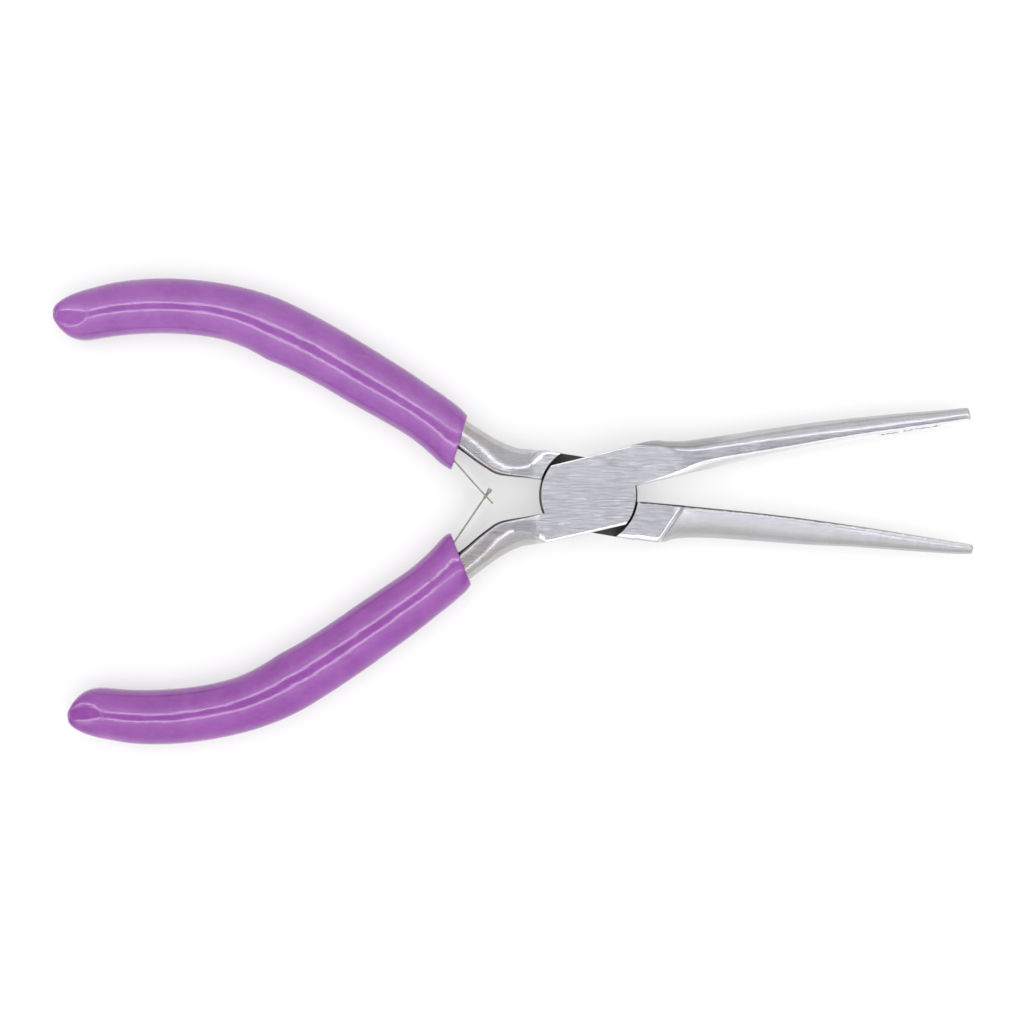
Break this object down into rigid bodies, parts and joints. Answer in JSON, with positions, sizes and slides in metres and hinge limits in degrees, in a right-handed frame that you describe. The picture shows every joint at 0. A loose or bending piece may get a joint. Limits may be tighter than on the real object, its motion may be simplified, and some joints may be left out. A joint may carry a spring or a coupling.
{
  "type": "round nose pliers",
  "caption": "Long round nose pliers for jewellery work: slim tapering round jaws, lap joint, bowed dipped grips and interlocking leaf springs that hold the handles apart.",
  "frame": {"origin": "on the pivot axis, in the back face of the joint", "axes": "+X along the centreline towards the jaw tips, +Z along the pivot axis out of the front face, +Y towards the front half's jaw"},
  "size_m": [0.1478, 0.0755, 0.0082],
  "materials": {
    "polished_steel": "forged steel, ground flat on the joint faces with fine brushing, polished round jaws and shanks",
    "rivet_steel": "steel rivet, ends ground flush",
    "violet_pvc": "glossy violet dipped PVC, slightly translucent",
    "spring_steel": "thin tempered spring steel, brownish grey"
  },
  "bodies": {
    "rear": {"rear_half": "polished_steel", "upper_grip": "violet_pvc", "upper_spring_foot": "spring_steel", "upper_spring_rivet": "rivet_steel"},
    "front": {"front_half": "polished_steel", "lower_grip": "violet_pvc", "lower_spring_foot": "spring_steel", "lower_spring_rivet": "rivet_steel", "pivot_rivet": "rivet_steel"},
    "upper_spring": {"upper_spring_blade": "spring_steel"},
    "lower_spring": {"lower_spring_blade": "spring_steel"}
  },
  "joints": [
    {"name": "pivot", "type": "hinge", "parent": "rear", "child": "front", "pos_m": [0, 0, 0.004], "axis": [0, 0, -1], "range_deg": [-3, 18.1]},
    {"name": "upper_spring_flex", "type": "hinge", "parent": "rear", "child": "upper_spring", "pos_m": [-0.02095, 0.00572, 0.004], "axis": [0, 0, 1], "range_deg": [-4, 22]},
    {"name": "lower_spring_flex", "type": "hinge", "parent": "front", "child": "lower_spring", "pos_m": [-0.02147, -0.00631, 0.004], "axis": [0, 0, -1], "range_deg": [-5, 27]}
  ],
  "couplings": [
    {"joint": "upper_spring_flex", "follows": "pivot", "ratio": 1.1},
    {"joint": "lower_spring_flex", "follows": "pivot", "ratio": 1.3}
  ]
}
